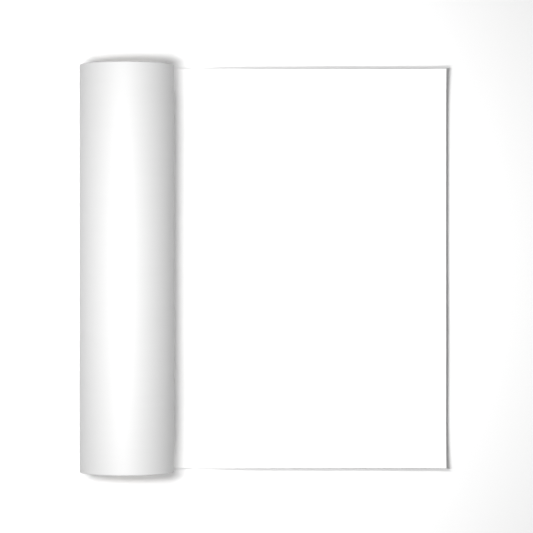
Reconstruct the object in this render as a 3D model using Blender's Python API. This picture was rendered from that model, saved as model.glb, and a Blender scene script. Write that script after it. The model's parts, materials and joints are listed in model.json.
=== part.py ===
"""A 24 in by 50 yd roll of self-adhesive sign vinyl, with its first half metre unrolled on a table.

The web is three bonded layers: a face film, its adhesive and a paper release liner. It is wound film
side out on a paperboard core and leaves the roll along the roll's lowest line, so on the flat part the
film faces down and the back of the liner faces up. Units are metres. X runs along the flat web to its
free edge, Y runs along the roll and Z is up. The origin is the middle of the bounding box's lowest face.
"""

import math

import bmesh
import bpy

# The web
WEB_WIDTH = 0.6096  # 24 in
WEB_LENGTH = 45.72  # 50 yd, unrolled part included
FILM_THICKNESS = 0.000065
ADHESIVE_THICKNESS = 0.000020
LINER_THICKNESS = 0.000140
LAYER_GAP = 0.000005  # keeps one layer's surface off the next
FLAT_LENGTH = 0.4835  # from the roll's lowest line to the free edge
WINDING_DENSITY = 0.99  # the share of the wound volume that is web, the rest being air

# The core: a spiral paper tube with a smooth skin ply on both faces of its body plies
CORE_BORE_RADIUS = 0.0381  # 3 in bore
CORE_WALL = 0.0035
SKIN_PLY = 0.0005
PLY_GAP = 0.00002

# The double-sided tape that holds the web's inner end on the core
TAPE_THICKNESS = 0.0001
TAPE_SPAN = math.radians(54)
TAPE_END_MARGIN = 0.010  # bare core beyond each end of the tape
TAPE_ANGLE = math.radians(30)

# The blank paper label inside the bore
LABEL_THICKNESS = 0.0001
LABEL_SPAN = math.radians(72)
LABEL_LENGTH = 0.060
LABEL_INSET = 0.012  # from the core's end to the label's edge
LABEL_ANGLE = math.radians(-36)

# Clearances where one piece turns or ends beside another
TURN_GAP = 0.00002  # between the outermost turn and the one that it lies on
SPIN_GAP = 0.0001  # between the outermost turn and the turning roll inside it
SEAM_GAP = 0.0003  # between the flat web and the outermost turn, along the tangent line

# Round pieces share one division of the circle, so that their facets stay parallel
FACETS = 120
FACET_ANGLE = 2 * math.pi / FACETS
SHARP_ANGLE = math.radians(30)

# Sizes that follow from the ones above
WEB_THICKNESS = FILM_THICKNESS + ADHESIVE_THICKNESS + LINER_THICKNESS
CORE_RADIUS = CORE_BORE_RADIUS + CORE_WALL
WOUND_AREA = (WEB_LENGTH - FLAT_LENGTH) * WEB_THICKNESS / WINDING_DENSITY
ROLL_RADIUS = math.sqrt(CORE_RADIUS**2 + WOUND_AREA / math.pi)
TURN_PITCH = WEB_THICKNESS + TURN_GAP
PACK_OUTER_RADIUS = ROLL_RADIUS - TURN_PITCH - WEB_THICKNESS - SPIN_GAP
PACK_INNER_RADIUS = CORE_RADIUS + TAPE_THICKNESS + 2 * PLY_GAP
AXIS_X = (ROLL_RADIUS - FLAT_LENGTH) / 2
HALF_WIDTH = WEB_WIDTH / 2

# Each layer of the web: the depth of its outer and inner faces below the film's face
FILM_DEPTHS = (0.0, FILM_THICKNESS)
ADHESIVE_DEPTHS = (FILM_THICKNESS + LAYER_GAP, FILM_THICKNESS + ADHESIVE_THICKNESS)
LINER_DEPTHS = (ADHESIVE_DEPTHS[1] + LAYER_GAP, WEB_THICKNESS)


def clear_scene():
    """Remove every object that the file opened with."""
    for obj in list(bpy.data.objects):
        bpy.data.objects.remove(obj, do_unlink=True)


def finish(name, color, roughness, coat=0.0):
    """A material of one colour and gloss, none of it metal."""
    material = bpy.data.materials.new(name)
    material.use_nodes = True
    shader = material.node_tree.nodes["Principled BSDF"]
    shader.inputs["Base Color"].default_value = (*color, 1.0)
    shader.inputs["Roughness"].default_value = roughness
    shader.inputs["Metallic"].default_value = 0.0
    shader.inputs["Coat Weight"].default_value = coat
    return material


def axis_empty(name, location, parent=None):
    """An empty on a joint's axis, for the pieces that move on that joint."""
    empty = bpy.data.objects.new(name, None)
    empty.location = location
    empty.parent = parent
    bpy.context.collection.objects.link(empty)
    return empty


def circle_line(radius, start=0.0, facets=FACETS):
    """Points round the roll's axis, one facet apart, from an angle measured from the lowest point."""
    angles = [start + FACET_ANGLE * step for step in range(facets + 1)]
    return [(-radius * math.sin(a), -radius * math.cos(a)) for a in angles]


def turn_line(depth):
    """The outermost turn at a depth below the film's face, from the tangent line once round the roll.

    It goes up the side away from the flat web, over the top and down again, and ends one pitch
    further in, just above the start of the flat web.
    """
    points = []
    for step in range(FACETS + 1):
        angle = FACET_ANGLE * step
        radius = ROLL_RADIUS - TURN_PITCH * step / FACETS - depth
        points.append((-radius * math.sin(angle), -radius * math.cos(angle)))
    return points


def strip(name, outer, inner, low, high, material, parent=None, closed=False):
    """A solid strip between an outer and an inner line in XZ, running along Y from low to high.

    The ends of an open strip are capped. A closed strip is a ring, and joins its last point to its
    first one.
    """
    bm = bmesh.new()
    rows = []
    for (outer_x, outer_z), (inner_x, inner_z) in zip(outer, inner):
        outside = ((outer_x, low, outer_z), (outer_x, high, outer_z))
        inside = ((inner_x, high, inner_z), (inner_x, low, inner_z))
        rows.append([bm.verts.new(corner) for corner in outside + inside])
    following = rows[1:] + rows[:1] if closed else rows[1:]
    for row, after in zip(rows, following):
        for side in range(4):
            other = (side + 1) % 4
            bm.faces.new((row[side], after[side], after[other], row[other]))
    if not closed:
        bm.faces.new(rows[0])
        bm.faces.new(rows[-1])
    bmesh.ops.recalc_face_normals(bm, faces=bm.faces)
    mesh = bpy.data.meshes.new(name)
    bm.to_mesh(mesh)
    bm.free()
    mesh.materials.append(material)
    mesh.shade_smooth()
    mesh.set_sharp_from_angle(angle=SHARP_ANGLE)
    obj = bpy.data.objects.new(name, mesh)
    obj.parent = parent
    bpy.context.collection.objects.link(obj)
    return obj


def tube(name, outer_radius, inner_radius, material, parent):
    """A ring about the roll's axis, as long as the web is wide."""
    outer = circle_line(outer_radius)[:-1]
    inner = circle_line(inner_radius)[:-1]
    return strip(name, outer, inner, -HALF_WIDTH, HALF_WIDTH, material, parent, closed=True)


def patch(name, outer_radius, inner_radius, start, span, low, high, material, parent):
    """A thin piece of tape or paper that follows the roll's facets over part of a turn."""
    facets = round(span / FACET_ANGLE)
    first = FACET_ANGLE * round(start / FACET_ANGLE)
    outer = circle_line(outer_radius, first, facets)
    inner = circle_line(inner_radius, first, facets)
    return strip(name, outer, inner, low, high, material, parent)


def flat_layer(name, depths, material):
    """One layer of the flat web, whose origin is on the tangent line under the roll's axis."""
    bottom = [(SEAM_GAP, depths[0]), (FLAT_LENGTH, depths[0])]
    top = [(SEAM_GAP, depths[1]), (FLAT_LENGTH, depths[1])]
    layer = strip(name, bottom, top, -HALF_WIDTH, HALF_WIDTH, material)
    layer.location = (AXIS_X, 0.0, 0.0)
    return layer


def turn_layer(name, depths, material, parent):
    """One layer of the outermost turn, which moves along with the roll but doesn't turn."""
    outer, inner = turn_line(depths[0]), turn_line(depths[1])
    return strip(name, outer, inner, -HALF_WIDTH, HALF_WIDTH, material, parent)


def build_core(paper, skin, label_paper, tape, parent):
    """The paper tube in three plies, the label in its bore and the tape on its outside."""
    skin_in = CORE_BORE_RADIUS + SKIN_PLY
    skin_out = CORE_RADIUS - SKIN_PLY
    tube("core_inner_ply", skin_in, CORE_BORE_RADIUS, skin, parent)
    tube("core_body_plies", skin_out - PLY_GAP, skin_in + PLY_GAP, paper, parent)
    tube("core_outer_ply", CORE_RADIUS, skin_out, skin, parent)
    label_out = CORE_BORE_RADIUS - PLY_GAP
    label_low = -HALF_WIDTH + LABEL_INSET
    patch(
        "core_label",
        label_out,
        label_out - LABEL_THICKNESS,
        LABEL_ANGLE,
        LABEL_SPAN,
        label_low,
        label_low + LABEL_LENGTH,
        label_paper,
        parent,
    )
    tape_in = CORE_RADIUS + PLY_GAP
    tape_reach = HALF_WIDTH - TAPE_END_MARGIN
    patch(
        "starter_tape",
        tape_in + TAPE_THICKNESS,
        tape_in,
        TAPE_ANGLE,
        TAPE_SPAN,
        -tape_reach,
        tape_reach,
        tape,
        parent,
    )


def build():
    """The whole roll, with the pieces that spin inside the ones that only travel."""
    clear_scene()
    film = finish("white_gloss_film", (0.90, 0.90, 0.90), 0.18, coat=0.3)
    adhesive = finish("clear_adhesive", (0.80, 0.80, 0.78), 0.35)
    liner = finish("white_liner_paper", (0.88, 0.88, 0.87), 0.55)
    pack = finish("wound_web_edges", (0.84, 0.84, 0.83), 0.50)
    kraft = finish("kraft_paperboard", (0.36, 0.25, 0.15), 0.85)
    kraft_skin = finish("kraft_skin_ply", (0.44, 0.31, 0.19), 0.75)
    label_paper = finish("label_paper", (0.86, 0.86, 0.85), 0.60)
    tape = finish("double_sided_tape", (0.78, 0.74, 0.60), 0.40)

    flat_layer("flat_film", FILM_DEPTHS, film)
    flat_layer("flat_adhesive", ADHESIVE_DEPTHS, adhesive)
    flat_layer("flat_liner", LINER_DEPTHS, liner)

    travel = axis_empty("roll_travel_axis", (AXIS_X, 0.0, ROLL_RADIUS))
    turn_layer("outer_turn_film", FILM_DEPTHS, film, travel)
    turn_layer("outer_turn_adhesive", ADHESIVE_DEPTHS, adhesive, travel)
    turn_layer("outer_turn_liner", LINER_DEPTHS, liner, travel)

    spin = axis_empty("roll_spin_axis", (0.0, 0.0, 0.0), travel)
    tube("wound_web", PACK_OUTER_RADIUS, PACK_INNER_RADIUS, pack, spin)
    build_core(kraft, kraft_skin, label_paper, tape, spin)


build()
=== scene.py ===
"""The looks of a roll of white sign vinyl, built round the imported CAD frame.

The roll lies on its side, and its web leaves from underneath and lies flat to the right. On the flat
part the film faces down and the plain back of the release liner shows. On the roll the film faces out.
"""

import json
import math

import bpy
import numpy as np
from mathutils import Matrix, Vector


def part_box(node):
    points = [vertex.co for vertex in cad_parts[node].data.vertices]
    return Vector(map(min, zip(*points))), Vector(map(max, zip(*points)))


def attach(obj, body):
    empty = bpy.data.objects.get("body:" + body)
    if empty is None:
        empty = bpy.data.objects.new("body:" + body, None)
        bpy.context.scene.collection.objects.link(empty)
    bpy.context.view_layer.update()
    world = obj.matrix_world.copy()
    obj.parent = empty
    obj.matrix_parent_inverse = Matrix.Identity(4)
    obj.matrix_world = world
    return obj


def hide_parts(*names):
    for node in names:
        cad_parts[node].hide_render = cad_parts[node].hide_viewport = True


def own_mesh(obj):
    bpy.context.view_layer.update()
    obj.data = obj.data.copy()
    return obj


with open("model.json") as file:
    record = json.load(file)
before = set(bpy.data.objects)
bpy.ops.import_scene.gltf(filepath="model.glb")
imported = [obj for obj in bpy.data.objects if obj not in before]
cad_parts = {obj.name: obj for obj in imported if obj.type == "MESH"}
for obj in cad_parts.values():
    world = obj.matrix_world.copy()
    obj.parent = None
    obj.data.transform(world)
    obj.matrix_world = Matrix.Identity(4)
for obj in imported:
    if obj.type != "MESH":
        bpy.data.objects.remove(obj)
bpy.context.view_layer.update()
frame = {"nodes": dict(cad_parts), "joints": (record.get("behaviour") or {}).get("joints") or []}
TAU = 2 * math.pi
RANDOM = np.random.default_rng(24)


def frame_joint(name):
    """The frame's joint of that name."""
    return next(joint for joint in frame["joints"] if joint["name"] == name)


def node_radius(name):
    """The outer radius of a CAD tube about the roll's axis."""
    low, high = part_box(name)
    return (high.z - low.z) / 2


# Places and sizes from the frame
AXIS_X, _, AXIS_Z = frame_joint("roll_spin")["pos_m"]
ROLL_RADIUS = AXIS_Z
HALF_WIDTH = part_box("flat_film")[1].y
FREE_EDGE_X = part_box("flat_film")[1].x
FLAT_LENGTH = FREE_EDGE_X - AXIS_X
TAIL_LENGTH = FLAT_LENGTH - frame_joint("roll_travel")["range_m"][1]
LAYERS = ("film", "adhesive", "liner")
DEPTHS = {layer: [corner.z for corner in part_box(f"flat_{layer}")] for layer in LAYERS}
WEB_THICKNESS = DEPTHS["liner"][1]
CORE_RADIUS = node_radius("core_outer_ply")
BOARD_RADIUS = node_radius("core_body_plies")
SKIN_RADIUS = node_radius("core_inner_ply")
LABEL_LOW, LABEL_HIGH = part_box("core_label")

# The wound web and its outermost turn
TURN_GAP = 0.00002  # between the outermost turn's end and its start
PACK_SPREAD = 0.00008  # how much of the frame's gap below the outermost turn the wound turns fill
TAPE_SPACE = 0.00014  # between the core and the first turn, where the starter tape lies
PACK_RADIUS = node_radius("wound_web") + PACK_SPREAD
PACK_START = CORE_RADIUS + TAPE_SPACE
TURNS = round((PACK_RADIUS - PACK_START) / WEB_THICKNESS) - 1
TURN_PITCH = (PACK_RADIUS - PACK_START) / (TURNS + 1)

# The turns' edges at both ends of the roll
LANDS = (0.0, 0.12, 0.88)  # across one turn: its groove, and where its flat land starts and ends
GROOVE_DEPTH = 0.00010
WANDER = 0.000035  # how far the winder strays sideways from one turn to the next
SWAY = 0.00012  # its slow drift to both sides over the whole winding
SWAY_ANGLE = 5.2  # how far that drift's wave runs
JITTER = 0.000015  # each turn's own share
LEAST_INSET = 0.00004  # how far in from the roll's end even the furthest turn stands

# The soft shoulder that handling leaves at both ends of the outer turns
SHOULDER_RADIUS = 0.0014
SHOULDER_WIDTH = 0.0012
SHOULDER_DEPTH = 0.005  # how far in from the roll's face turns are pressed
SHOULDER_START = 0.7  # the angle over which the outermost turn takes it on, past the tangent line

# The paper core
SKIN_THICKNESS = 0.0005
PLY_GAP = 0.00002
BORE_RADIUS = SKIN_RADIUS - SKIN_THICKNESS
BODY_PLIES = 5
PLY_LANDS = (0.0, 0.15, 0.85)  # across one ply's cut end: its joint, and where its flat starts and ends
PLY_CUT = (0.00002, 0.00014)  # the least and the most that a ply's end stands in from the roll's end
JOINT_DEPTH = 0.00012
RIM_CUT = 0.00022  # how far in the tube's outer rim stands
FUR = 0.00005  # how rough the saw leaves the plies' ends
SEAM_LEAD = 0.150  # how far the inner skin's seam runs along the core in one turn
SEAM_WIDTH = 0.0008
SKIN_TRIM = 0.0001  # how far in from the roll's end the inner skin is cut off
SKIN_MARGIN = 0.002  # the share of a turn left off each tip of the inner skin, where it has no width

# The label in the bore
LABEL_THICKNESS = 0.0001
LABEL_CORNER = 0.004
LOOSE_START = (0.80, 0.50)  # where its loose corner starts: share of its arc and of its half length
LOOSE_SPAN = (0.20, 1.00)  # the shares over which it comes fully loose
LOOSE_LIFT = 0.0016
LOOSE_POWER = 1.5

# How the free edges of the unrolled web lift off the table
SIDE_LIFT = 0.0125
SIDE_BAND = 0.125  # how far in from the side edges they curl
SIDE_ONSET = 0.178  # how far from the roll the side edges near their full lift
TAIL_LIFT = 0.0100
TAIL_BAND = 0.070  # how far in from the free edge it curls
UNEVENNESS = 0.07  # the share by which the lift varies from place to place
UNEVEN_WAVES = (0.31, 0.19, 0.12)
RIPPLE_HEIGHT = 0.00025
RIPPLE_WAVES = (0.33, 0.21, 0.26, 0.15)

# Mesh steps
FLAT_ROWS = 150
FLAT_COLUMNS = 161
TURN_STEPS = 360
TURN_COLUMNS = 61
SHOULDER_STEPS = 12
PACK_STEPS = 120
TURN_ROWS = len(LANDS)
PACK_ROWS = TURN_ROWS * TURNS
CORE_STEPS = 180
SKIN_COLUMNS = 9
LABEL_ROWS = 49
LABEL_COLUMNS = 41
SHARP_ANGLE = math.radians(35)

# Materials: the range where nearly all of a noise's values lie
NOISE_LOW = 0.3
NOISE_HIGH = 0.7

# Studio
TABLE_SIZE = 60.0  # wide enough to fill a low view to the horizon
TABLE_DROP = 0.00005  # keeps the table's surface off the web's
CAMERA_HEIGHT = 3.82
CAMERA_PLACE = (0.00275, 0.0030)
CAMERA_LENS = 169.0
CAMERA_SENSOR = 36.0
SOFTBOX_PLACE = (-0.30, 0.15, 1.15)  # one of the pair, which hang across the middle from each other
SOFTBOX_SIZE = (0.54, 0.09)
SOFTBOX_POWER = 9.5
SPOT_POWER = 17.5
SPOT_CONE = math.radians(15)
SPOT_RADIUS = 0.06
SPOT_REACH = 0.95  # from the roll's middle to the spotlight, along the roll
SPOT_HEIGHT = 0.85
SPOT_TARGET = 0.39  # from the roll's middle to where its beam meets the table
FILL_STRENGTH = 0.37


# ---------------------------------------------------------------- meshes


def mesh_object(name, points, quads, material, corner_values=None):
    """A smooth-shaded object from points and quads that all face one way, turned outwards.

    corner_values maps an attribute's name to a value for each corner of each quad.
    """
    a, b, c, d = (points[quads[:, corner]] for corner in range(4))
    volume = np.einsum("ij,ij->", a, np.cross(b, c) + np.cross(c, d))
    way = 1 if volume > 0 else -1
    mesh = bpy.data.meshes.new(name)
    mesh.from_pydata(points.tolist(), [], quads[:, ::way].tolist())
    for attribute, values in (corner_values or {}).items():
        layer = mesh.attributes.new(attribute, "FLOAT", "CORNER")
        layer.data.foreach_set("value", values[:, ::way].astype(np.float32).ravel())
    mesh.materials.append(material)
    mesh.shade_smooth()
    mesh.set_sharp_from_angle(angle=SHARP_ANGLE)
    obj = bpy.data.objects.new(name, mesh)
    bpy.context.scene.collection.objects.link(obj)
    return obj


def shell(name, outer, inner, material):
    """A closed thin solid between two grids of points, each shaped (rows, columns, 3)."""
    rows, columns = outer.shape[:2]
    count = rows * columns
    index = np.arange(count).reshape(rows, columns)
    corners = (index[:-1, :-1], index[1:, :-1], index[1:, 1:], index[:-1, 1:])
    quads = np.stack(corners, axis=-1).reshape(-1, 4)
    edge = np.concatenate([index[0, :-1], index[:-1, -1], index[-1, :0:-1], index[:0:-1, 0]])
    after = np.roll(edge, -1)
    rim = np.stack([edge, after, after + count, edge + count], axis=-1)
    points = np.concatenate([outer.reshape(-1, 3), inner.reshape(-1, 3)])
    faces = np.concatenate([quads, (quads + count)[:, ::-1], rim])
    return mesh_object(name, points, faces, material)


def ring(name, points, material):
    """A closed ring from a grid of points that joins up both ways: round its section and round the axis."""
    rows, columns = points.shape[:2]
    index = np.arange(rows * columns).reshape(rows, columns)
    below = np.roll(index, -1, axis=0)
    corners = (index, below, np.roll(below, -1, axis=1), np.roll(index, -1, axis=1))
    quads = np.stack(corners, axis=-1).reshape(-1, 4)
    return mesh_object(name, points.reshape(-1, 3), quads, material)


def around(angle, radius, along):
    """Points round the roll's axis: angle from the lowest line towards -X, radius, and place along Y."""
    angle, radius, along = np.broadcast_arrays(angle, radius, along)
    x = AXIS_X - radius * np.sin(angle)
    z = AXIS_Z - radius * np.cos(angle)
    return np.stack([x, along, z], axis=-1)


def smooth_step(value):
    """0 below 0, 1 above 1 and a smooth ramp between."""
    value = np.clip(value, 0.0, 1.0)
    return value * value * (3 - 2 * value)


def waves(first, second, lengths):
    """A gentle surface of crossing waves of the given lengths, from about -1 to 1."""
    total = 0.0
    for length in lengths:
        heading, phase = RANDOM.uniform(0, TAU, 2)
        run = first * math.cos(heading) + second * math.sin(heading)
        total = total + np.sin(TAU * run / length + phase)
    return total / len(lengths)


def eased(count):
    """Places from 0 to 1, closer together towards both ends."""
    even = np.linspace(0, 1, count)
    return 0.5 * even + 0.25 * (1 - np.cos(math.pi * even))


# ---------------------------------------------------------------- materials


class Shading:
    """A material under construction: its nodes, its links and its shader.

    Its roughness is plain until a texture drives it.
    """

    def __init__(self, name, roughness):
        self.material = bpy.data.materials.new(name)
        self.material.use_nodes = True
        self.nodes = self.material.node_tree.nodes
        self.links = self.material.node_tree.links
        self.shader = self.nodes["Principled BSDF"]
        self.shader.inputs["Roughness"].default_value = roughness

    def add(self, kind, inputs, **settings):
        """A new node, with its settings and the values or links of its inputs by name or number."""
        node = self.nodes.new(kind)
        for key, value in settings.items():
            setattr(node, key, value)
        for key, value in inputs.items():
            if isinstance(value, bpy.types.NodeSocket):
                self.links.new(value, node.inputs[key])
            else:
                node.inputs[key].default_value = value
        return node

    def noise(self, scale, detail=3.0, roughness=0.5, stretch=(1.0, 1.0, 1.0)):
        """Noise of that scale per metre, from 0 to 1, in the piece's own coordinates."""
        place = self.add("ShaderNodeTexCoord", {}).outputs["Object"]
        mapped = self.add("ShaderNodeMapping", {"Vector": place, "Scale": stretch}).outputs["Vector"]
        inputs = {"Vector": mapped, "Scale": scale, "Detail": detail, "Roughness": roughness}
        return self.add("ShaderNodeTexNoise", inputs).outputs["Fac"]

    def attribute(self, name):
        """A value that the mesh holds."""
        return self.add("ShaderNodeAttribute", {}, attribute_name=name).outputs["Fac"]

    def ramp(self, factor, *stops):
        """A colour ramp through (place, colour) stops."""
        node = self.add("ShaderNodeValToRGB", {"Fac": factor})
        elements = node.color_ramp.elements
        while len(elements) < len(stops):
            elements.new(0.5)
        for element, (position, color) in zip(elements, stops):
            element.position = position
            element.color = (*color, 1.0)
        return node.outputs["Color"]

    def blend(self, noise, low, high):
        """A colour that goes from low to high with a noise."""
        return self.ramp(noise, (NOISE_LOW, low), (NOISE_HIGH, high))

    def times(self, first, second):
        """Two colours multiplied. The node's sockets share names, so its inputs go by number."""
        inputs = {0: 1.0, 6: first, 7: second}
        return self.add("ShaderNodeMix", inputs, data_type="RGBA", blend_type="MULTIPLY").outputs[2]

    def span(self, factor, low, high):
        """factor, from 0 to 1, spread over low to high."""
        inputs = {"Value": factor, "To Min": low, "To Max": high}
        return self.add("ShaderNodeMapRange", inputs).outputs["Result"]

    def bump(self, height, distance):
        """A bump of that height in metres, on top of the ones before it."""
        inputs = {"Height": height, "Distance": distance}
        before = self.shader.inputs["Normal"].links
        if before:
            inputs["Normal"] = before[0].from_socket
        self.drive("Normal", self.add("ShaderNodeBump", inputs).outputs["Normal"])

    def drive(self, socket, value):
        """Feed a socket of the shader."""
        self.links.new(value, self.shader.inputs[socket])


def grey(value, warmth=0.0):
    """A near-white colour, a little yellow if warmth is above 0."""
    return (value, value - warmth / 3, value - warmth)


def film_material():
    """Satin white calendered vinyl, with the calender's faint streaks and orange peel.

    Its colour is only a mid grey, since the lamps hang right above the roll and turn it white.
    """
    made = Shading("vinyl_face_film", 0.62)
    made.shader.inputs["Specular IOR Level"].default_value = 0.65
    streak = made.noise(14.0, detail=2.0, stretch=(1.0, 9.0, 1.0))
    made.drive("Base Color", made.blend(streak, grey(0.475), grey(0.480)))
    made.drive("Roughness", made.span(made.noise(35.0), 0.59, 0.65))
    made.bump(made.noise(900.0, detail=2.0), 0.000004)
    return made.material


def liner_material():
    """The back of a clay-coated paper liner: satin white, with a soft paper formation."""
    made = Shading("release_liner_back", 0.52)
    cloud = made.noise(60.0, detail=5.0, roughness=0.6)
    made.drive("Base Color", made.blend(cloud, grey(0.85, 0.004), grey(0.872, 0.004)))
    made.drive("Roughness", made.span(cloud, 0.48, 0.58))
    made.bump(made.noise(1400.0, detail=4.0, roughness=0.6), 0.000006)
    return made.material


def adhesive_material():
    """Clear pressure-sensitive adhesive, seen only as a hairline between film and liner."""
    made = Shading("clear_adhesive", 0.25)
    tint = made.noise(200.0)
    made.drive("Base Color", made.blend(tint, grey(0.78, 0.05), grey(0.82, 0.03)))
    made.drive("Roughness", made.span(tint, 0.20, 0.32))
    made.bump(made.noise(1200.0), 0.000005)
    return made.material


def edge_material():
    """The cut edges of the wound turns: in each, from the axis out, liner, adhesive, film and a gap, whose
    dark colour is painted shade.
    """
    made = Shading("wound_web_edges", 0.60)
    # The first colour is painted shade: it darkens the grooves between the turns, where shade would fall.
    painted_gap_shade, liner, film = grey(0.40, 0.04), grey(0.76, 0.05), grey(0.86)
    lines = made.ramp(
        made.attribute("land"),
        (0.00, painted_gap_shade),
        (0.06, liner),
        (0.58, liner),
        (0.64, grey(0.62, 0.07)),
        (0.70, film),
        (0.94, film),
        (1.00, painted_gap_shade),
    )
    tone = made.ramp(made.attribute("tone"), (0.0, grey(0.86)), (1.0, grey(1.0)))
    made.drive("Base Color", made.times(lines, tone))
    made.drive("Roughness", made.span(made.noise(500.0), 0.52, 0.68))
    made.bump(made.noise(2500.0), 0.00001)
    return made.material


def kraft_material(name, light, dark, roughness):
    """Brown paperboard with long fibres and small dark specks."""
    made = Shading(name, roughness)
    fibre = made.noise(260.0, detail=6.0, roughness=0.65, stretch=(1.0, 0.25, 1.0))
    speck = made.noise(1500.0, detail=2.0)
    fibres = made.ramp(fibre, (0.30, dark), (0.62, light))
    specks = made.ramp(speck, (0.22, grey(0.62, 0.04)), (0.34, grey(1.0)))
    made.drive("Base Color", made.times(fibres, specks))
    made.drive("Roughness", made.span(fibre, roughness - 0.06, roughness + 0.06))
    made.bump(speck, 0.00002)
    made.bump(fibre, 0.00006)
    return made.material


def label_material():
    """Plain coated label paper."""
    made = Shading("blank_label_paper", 0.45)
    cloud = made.noise(250.0, detail=4.0)
    made.drive("Base Color", made.blend(cloud, grey(0.82, 0.01), grey(0.86, 0.005)))
    made.drive("Roughness", made.span(cloud, 0.40, 0.50))
    made.bump(made.noise(1800.0), 0.000005)
    return made.material


def tape_material():
    """Double-sided tape with a yellowish, slightly wrinkled adhesive."""
    made = Shading("starter_tape", 0.35)
    wrinkle = made.noise(180.0, detail=4.0, stretch=(1.0, 0.3, 1.0))
    made.drive("Base Color", made.blend(wrinkle, (0.68, 0.61, 0.43), (0.78, 0.72, 0.55)))
    made.drive("Roughness", made.span(wrinkle, 0.28, 0.45))
    made.bump(wrinkle, 0.00003)
    return made.material


def table_material():
    """A plain white studio surface."""
    made = Shading("studio_surface", 0.85)
    made.shader.inputs["Base Color"].default_value = (*grey(0.865), 1.0)
    made.shader.inputs["Specular IOR Level"].default_value = 0.1
    return made.material


# ---------------------------------------------------------------- the unrolled web and the outermost turn


def curl(from_edge, band, height):
    """The rise of a strip that curls up towards its edge, and how far that draws its points in.

    The draw-in is what keeps the strip's length along its curve the same.
    """
    part = np.clip(1 - from_edge / band, 0, 1)
    return height * part**2, height**2 / band * part**3 / 1.5


def settle(along, across):
    """Where the flat web's points lie: along and across as drawn in by the curl, and the height.

    along starts at the tangent line. The free edge curls up as it was wound, and the dry liner draws the
    side edges up. The side edges' lift grows from nothing at the roll, as the square of the distance, and
    levels off at SIDE_ONSET, so that they stay below the roll when it travels over them.
    """
    rise = (along / SIDE_ONSET) ** 2
    onset = rise / (1 + rise**4) ** 0.25
    side, side_draw = curl(HALF_WIDTH - np.abs(across), SIDE_BAND, SIDE_LIFT * onset)
    tail, tail_draw = curl(FLAT_LENGTH - along, TAIL_BAND, TAIL_LIFT)
    settled = smooth_step((along - TAIL_LENGTH) / SIDE_ONSET)
    uneven = 1 + UNEVENNESS * waves(along, across, UNEVEN_WAVES)
    ripple = RIPPLE_HEIGHT * settled * (1 + waves(along, across, RIPPLE_WAVES))
    height = np.hypot(side, tail) * uneven + ripple
    return along - tail_draw, across - np.sign(across) * side_draw, height


def unrolled_web(materials):
    """The flat part's three bonded layers, attached to the unrolled web's body."""
    along, across = np.meshgrid(eased(FLAT_ROWS), eased(FLAT_COLUMNS) * 2 - 1, indexing="ij")
    along, across, height = settle(along * FLAT_LENGTH, across * HALF_WIDTH)
    for layer in LAYERS:
        faces = [(AXIS_X + along, across, height + depth) for depth in DEPTHS[layer]]
        low, high = (np.stack(face, axis=-1) for face in faces)
        piece = shell(f"unrolled_{layer}", low, high, materials[layer][0])
        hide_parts(f"flat_{layer}")
        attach(piece, "unrolled_web")
        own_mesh(piece)


def shoulder(along):
    """How far handling has pressed the outer turns' edges in towards the axis, near both ends."""
    reach = np.clip(np.abs(along) - HALF_WIDTH + SHOULDER_WIDTH, 0, SHOULDER_WIDTH)
    return SHOULDER_RADIUS - np.sqrt(SHOULDER_RADIUS**2 - reach**2)


def outermost_turn(materials):
    """The outermost turn's three layers, from the tangent line once round the roll."""
    angle = np.linspace(0, TAU, TURN_STEPS + 1)[:, None]
    edge = SHOULDER_WIDTH * np.linspace(0, 1, SHOULDER_STEPS + 1)[:-1]
    barrel = np.linspace(SHOULDER_WIDTH - HALF_WIDTH, HALF_WIDTH - SHOULDER_WIDTH, TURN_COLUMNS)
    along = np.concatenate([edge - HALF_WIDTH, barrel, HALF_WIDTH - edge[::-1]])[None, :]
    face = ROLL_RADIUS - (WEB_THICKNESS + TURN_GAP) * angle / TAU
    face = face - shoulder(along) * smooth_step(angle / SHOULDER_START)
    for layer in LAYERS:
        outer, inner = (around(angle, face - depth, along) for depth in DEPTHS[layer])
        piece = shell(f"roll_{layer}", outer, inner, materials[layer][0])
        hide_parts(f"outer_turn_{layer}")
        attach(piece, "outer_turn")


# ---------------------------------------------------------------- the wound roll


def edge_insets():
    """How far each turn's edge stands in from the roll's end, as the winder's wander left it."""
    count = TURNS + 2
    walk = np.cumsum(RANDOM.normal(0, WANDER, count))
    walk += SWAY * np.sin(np.linspace(0, SWAY_ANGLE, count))
    walk += RANDOM.normal(0, JITTER, count)
    return walk - walk.min() + LEAST_INSET


def spiral_places():
    """The row and the step of each point on one end of the wound turns, in the points' order.

    A row follows the spiral once round and goes on as the row one turn further out. Each turn has a
    groove row and two rows at its land's edges. The outermost rows end in one last point each.
    """
    row = np.repeat(np.arange(PACK_ROWS + 1), PACK_STEPS)
    step = np.tile(np.arange(PACK_STEPS), PACK_ROWS + 1)
    last_rows = PACK_ROWS + 1 + np.arange(TURN_ROWS)
    return np.append(row, last_rows), np.append(step, np.zeros(TURN_ROWS, int))


def spiral_number(row, step):
    """The number of the point at a row and a step, which past the last step is one turn further out."""
    past = step == PACK_STEPS
    row = np.where(past, row + TURN_ROWS, row)
    number = row * PACK_STEPS + np.where(past, 0, step)
    last_number = (PACK_ROWS + 1) * PACK_STEPS + row - (PACK_ROWS + 1)
    return np.where(row > PACK_ROWS, last_number, number)


def wall(chain, other):
    """Quads between two closed chains of point numbers."""
    return np.stack([np.roll(chain, -1), chain, other, np.roll(other, -1)], axis=-1)


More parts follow.
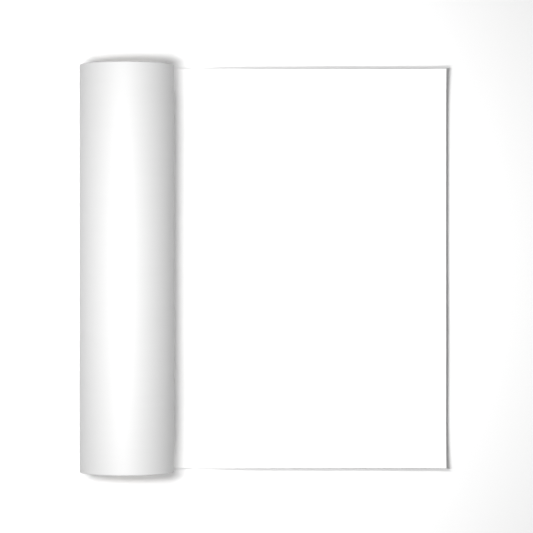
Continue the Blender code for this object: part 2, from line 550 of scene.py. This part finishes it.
def edge_values(row, step, others):
    """The material's values at the corners of both ends' quads, and middle ones for the other quads.

    row and step are those of each quad's first corner. land is the place across the turn, and tone is
    the turn's own shade, which fades into the next turn's once round.
    """
    lower = np.array(LANDS)[row % TURN_ROWS]
    upper = np.append(LANDS, 1.0)[row % TURN_ROWS + 1]
    tones = RANDOM.uniform(0, 1, TURNS + 2)
    turns = [row // TURN_ROWS + (step + ahead) / PACK_STEPS for ahead in (0, 1)]
    before, after = (np.interp(turn, np.arange(TURNS + 2), tones) for turn in turns)
    ends = {
        "land": np.stack([lower, upper, upper, lower], axis=-1),
        "tone": np.stack([before, before, after, after], axis=-1),
    }
    plain = np.full((others, 4), 0.5)
    return {name: np.concatenate([end, end[:, ::-1], plain]) for name, end in ends.items()}


def wound_turns(material):
    """The wound web as one spiral, whose turns end in a flat land each, with a groove between them."""
    row, step = spiral_places()
    turn, land = np.divmod(row, TURN_ROWS)
    part = step / PACK_STEPS
    angle = TAU * (1 - part)
    radius = PACK_START + TURN_PITCH * (turn + np.array(LANDS)[land] + part)
    pressed = shoulder(HALF_WIDTH) * np.clip(1 - (PACK_RADIUS - radius) / SHOULDER_DEPTH, 0, 1) ** 2
    grooves = land == 0
    places = np.where(grooves, turn + part - 0.5, turn + part)
    sunk = np.where(grooves, GROOVE_DEPTH, 0.0)
    points = []
    for side in (-1, 1):
        inset = np.interp(places, np.arange(TURNS + 2), edge_insets()) + sunk
        points.append(around(angle, radius - pressed, side * (HALF_WIDTH - inset)))

    low, first = np.meshgrid(np.arange(PACK_ROWS), np.arange(PACK_STEPS), indexing="ij")
    low, first = low.ravel(), first.ravel()
    corners = [(low, first), (low + 1, first), (low + 1, first + 1), (low, first + 1)]
    face = np.stack([spiral_number(*corner) for corner in corners], axis=-1)

    # The inner and outer edges of a face are closed by the steps that the spiral's two ends leave there
    count = len(radius)
    steps = np.arange(PACK_STEPS)
    climb = np.arange(TURN_ROWS, 0, -1)
    outer = np.append(spiral_number(PACK_ROWS, steps), spiral_number(PACK_ROWS + climb, 0))
    inner = np.append(spiral_number(0, steps), spiral_number(climb, 0))
    barrel = HALF_WIDTH - SHOULDER_WIDTH
    points += [around(angle[outer], radius[outer], side * barrel) for side in (-1, 1)]
    foot = 2 * count + np.arange(len(outer))
    walls = [
        wall(outer, foot),
        wall(foot, foot + len(outer)),
        wall(foot + len(outer), outer + count),
        wall(inner, inner + count)[:, ::-1],
    ]
    quads = np.concatenate([face, (face + count)[:, ::-1], *walls])
    values = edge_values(low, first, sum(map(len, walls)))
    piece = mesh_object("wound_turns", np.concatenate(points), quads, material, values)
    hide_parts("wound_web")
    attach(piece, "wound_roll")


def tube_section(name, outer_radius, inner_radius, plies, material, node):
    """A paper tube whose ends show its plies, each cut a little differently and slightly furred."""
    angle = np.linspace(0, TAU, CORE_STEPS, endpoint=False)[None, :]
    thickness = (outer_radius - inner_radius) / plies
    starts = inner_radius + thickness * np.arange(plies)[:, None]
    radii = (starts + thickness * np.array(PLY_LANDS)).ravel()
    radii = np.append(radii, outer_radius)[:, None]
    sections = []
    for side in (-1, 1):
        cut = np.repeat(RANDOM.uniform(*PLY_CUT, plies), len(PLY_LANDS))
        cut[:: len(PLY_LANDS)] += JOINT_DEPTH
        cut = np.append(cut, RIM_CUT)[:, None]
        fur = RANDOM.uniform(0, FUR, (len(radii), CORE_STEPS))
        sections.append(around(angle, radii, side * (HALF_WIDTH - cut - fur)))
    piece = ring(name, np.concatenate([sections[0], sections[1][::-1]]), material)
    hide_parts(node)
    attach(piece, "wound_roll")


def inner_skin(material):
    """The bore's skin: a paper strip wound in a helix, with an open seam between its turns."""
    width = SEAM_LEAD - SEAM_WIDTH
    reach = (2 * HALF_WIDTH + width) / SEAM_LEAD
    turns = np.linspace(SKIN_MARGIN, reach - SKIN_MARGIN, round(reach * CORE_STEPS))[:, None]
    trim = HALF_WIDTH - SKIN_TRIM
    low = np.clip(-HALF_WIDTH - width + SEAM_LEAD * turns, -trim, trim)
    high = np.clip(-HALF_WIDTH + SEAM_LEAD * turns, -trim, trim)
    along = low + (high - low) * np.linspace(0, 1, SKIN_COLUMNS)[None, :]
    outer, inner = (around(TAU * turns, radius, along) for radius in (SKIN_RADIUS, BORE_RADIUS))
    piece = shell("core_bore_skin", outer, inner, material)
    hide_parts("core_inner_ply")
    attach(piece, "wound_roll")


def bore_label(material):
    """A blank label with round corners, stuck in the bore near one end, one corner a little loose."""
    half_angle = math.asin((LABEL_HIGH.x - LABEL_LOW.x) / 2 / BORE_RADIUS)
    arc = 2 * half_angle * BORE_RADIUS
    middle = (LABEL_LOW.y + LABEL_HIGH.y) / 2
    half_length = (LABEL_HIGH.y - LABEL_LOW.y) / 2
    across = eased(LABEL_ROWS)[:, None]
    from_edge = np.minimum(across, 1 - across) * arc
    corner = LABEL_CORNER - np.minimum(from_edge, LABEL_CORNER)
    reach = half_length - LABEL_CORNER + np.sqrt(LABEL_CORNER**2 - corner**2)
    along = middle + reach * np.linspace(-1, 1, LABEL_COLUMNS)[None, :]
    shares = (across, (middle - along) / half_length)
    sides = zip(shares, LOOSE_START, LOOSE_SPAN)
    loose_across, loose_along = (np.clip((share - start) / span, 0, 1) for share, start, span in sides)
    rise = LOOSE_LIFT * (loose_across * loose_along) ** LOOSE_POWER + PLY_GAP
    angle = (across * 2 - 1) * half_angle
    outer, inner = (around(angle, BORE_RADIUS - rise - depth, along) for depth in (0, LABEL_THICKNESS))
    piece = shell("bore_label", outer, inner, material)
    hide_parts("core_label")
    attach(piece, "wound_roll")


def dress_tape(material):
    """The frame's own tape is already the right shape, and only gets its material."""
    tape = frame["nodes"]["starter_tape"]
    tape.data.materials.clear()
    tape.data.materials.append(material)


# ---------------------------------------------------------------- studio


def lamp_object(light, place):
    """A lamp in its place, which lights the scene but isn't seen itself."""
    lamp = bpy.data.objects.new(light.name, light)
    lamp.location = place
    lamp.visible_camera = False
    bpy.context.scene.collection.objects.link(lamp)
    return lamp


def softbox(side):
    """An oval softbox that faces straight down, over one half of the roll."""
    light = bpy.data.lights.new("softbox", "AREA")
    light.shape = "ELLIPSE"
    light.size, light.size_y = SOFTBOX_SIZE
    light.energy = SOFTBOX_POWER
    along, across, height = SOFTBOX_PLACE
    lamp_object(light, (along, side * across, height))


def end_spot(side):
    """A soft spotlight from beyond one end of the roll, on the table beside that end."""
    light = bpy.data.lights.new("end_spot", "SPOT")
    light.energy = SPOT_POWER
    light.spot_size = SPOT_CONE
    light.spot_blend = 1.0
    light.shadow_soft_size = SPOT_RADIUS
    place = Vector((AXIS_X, side * SPOT_REACH, SPOT_HEIGHT))
    target = Vector((AXIS_X, side * SPOT_TARGET, 0.0))
    lamp = lamp_object(light, place)
    lamp.rotation_euler = (target - place).to_track_quat("-Z", "Y").to_euler()


def lay_table():
    """A plain white table under the roll and all round it."""
    half = TABLE_SIZE / 2
    corners = [(-half, -half), (half, -half), (half, half), (-half, half)]
    mesh = bpy.data.meshes.new("table")
    mesh.from_pydata([(x, y, -TABLE_DROP) for x, y in corners], [], [(0, 1, 2, 3)])
    mesh.materials.append(table_material())
    table = bpy.data.objects.new("table", mesh)
    bpy.context.scene.collection.objects.link(table)


def even_fill():
    """White light from all round."""
    world = bpy.data.worlds.new("studio_fill")
    world.use_nodes = True
    background = world.node_tree.nodes["Background"].inputs
    background["Color"].default_value = (1, 1, 1, 1)
    background["Strength"].default_value = FILL_STRENGTH
    bpy.context.scene.world = world


def hang_camera():
    """The camera, which looks straight down from above."""
    scene = bpy.context.scene
    camera_data = bpy.data.cameras.new("camera")
    camera_data.lens = CAMERA_LENS
    camera_data.sensor_width = CAMERA_SENSOR
    camera = bpy.data.objects.new("camera", camera_data)
    camera.location = (*CAMERA_PLACE, CAMERA_HEIGHT)
    scene.collection.objects.link(camera)
    scene.camera = camera
    scene.view_settings.view_transform = "Standard"


def studio():
    """The table, a lamp above each half of the roll and one beyond each end, the fill and the camera."""
    lay_table()
    for side in (-1, 1):
        softbox(side)
        end_spot(side)
    even_fill()
    hang_camera()


# ---------------------------------------------------------------- the whole roll


def build():
    """The studio, and every piece of the roll from the web on its table inwards to the bore."""
    materials = {
        "film": (film_material(), "face_film"),
        "adhesive": (adhesive_material(), "adhesive"),
        "liner": (liner_material(), "release_liner"),
    }
    skin = kraft_material("kraft_skin_ply", (0.46, 0.33, 0.21), (0.36, 0.25, 0.15), 0.72)
    board = kraft_material("kraft_body_board", (0.40, 0.30, 0.20), (0.29, 0.21, 0.135), 0.88)
    studio()
    unrolled_web(materials)
    outermost_turn(materials)
    wound_turns(edge_material())
    board_bore = SKIN_RADIUS + PLY_GAP
    skin_bore = BOARD_RADIUS + PLY_GAP
    tube_section("core_board", BOARD_RADIUS, board_bore, BODY_PLIES, board, "core_body_plies")
    tube_section("core_outer_skin", CORE_RADIUS, skin_bore, 1, skin, "core_outer_ply")
    inner_skin(skin)
    bore_label(label_material())
    dress_tape(tape_material())


build()
